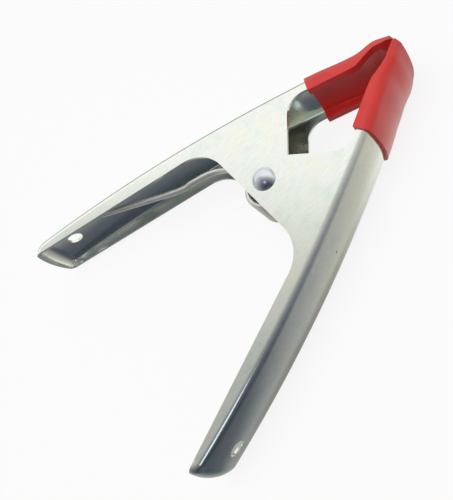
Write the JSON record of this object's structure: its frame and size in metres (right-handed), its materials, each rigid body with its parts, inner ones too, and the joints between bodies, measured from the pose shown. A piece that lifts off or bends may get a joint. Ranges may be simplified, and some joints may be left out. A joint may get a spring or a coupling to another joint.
{
  "type": "spring clamp",
  "caption": "Spring clamp with two pressed-steel channel arms on a rivet, a torsion spring between them and red dipped sleeves on the jaws.",
  "frame": {"origin": "centre of the clamp's bounding box at its underside, the plane that its rivet tail rests on as it lies on its side", "axes": "+X from the handles to the jaws along the line between the two arms, +Y to the left (inner) arm, +Z along the rivet from its formed tail to its round head, up as it lies"},
  "size_m": [0.1526, 0.1172, 0.0316],
  "materials": {
    "zinc_steel": "bright zinc plating, slightly mottled",
    "red_vinyl": "dipped soft vinyl, semi-gloss",
    "rivet_steel": "bright plated, polished dome",
    "spring_steel": "plated drawn wire, satin"
  },
  "bodies": {
    "right_side": {"right_arm": "zinc_steel", "right_jaw_sleeve": "red_vinyl", "pivot_rivet": "rivet_steel", "torsion_spring": "spring_steel"},
    "left_side": {"left_arm": "zinc_steel", "left_jaw_sleeve": "red_vinyl"}
  },
  "joints": [
    {"name": "jaw_pivot", "type": "hinge", "parent": "right_side", "child": "left_side", "pos_m": [0.01175, 0, 0.0152], "axis": [0, 0, 1], "range_deg": [0, 46], "stiffness_Nm_per_rad": 1.1, "springref_deg": -63.03, "deforming": ["torsion_spring"]}
  ]
}
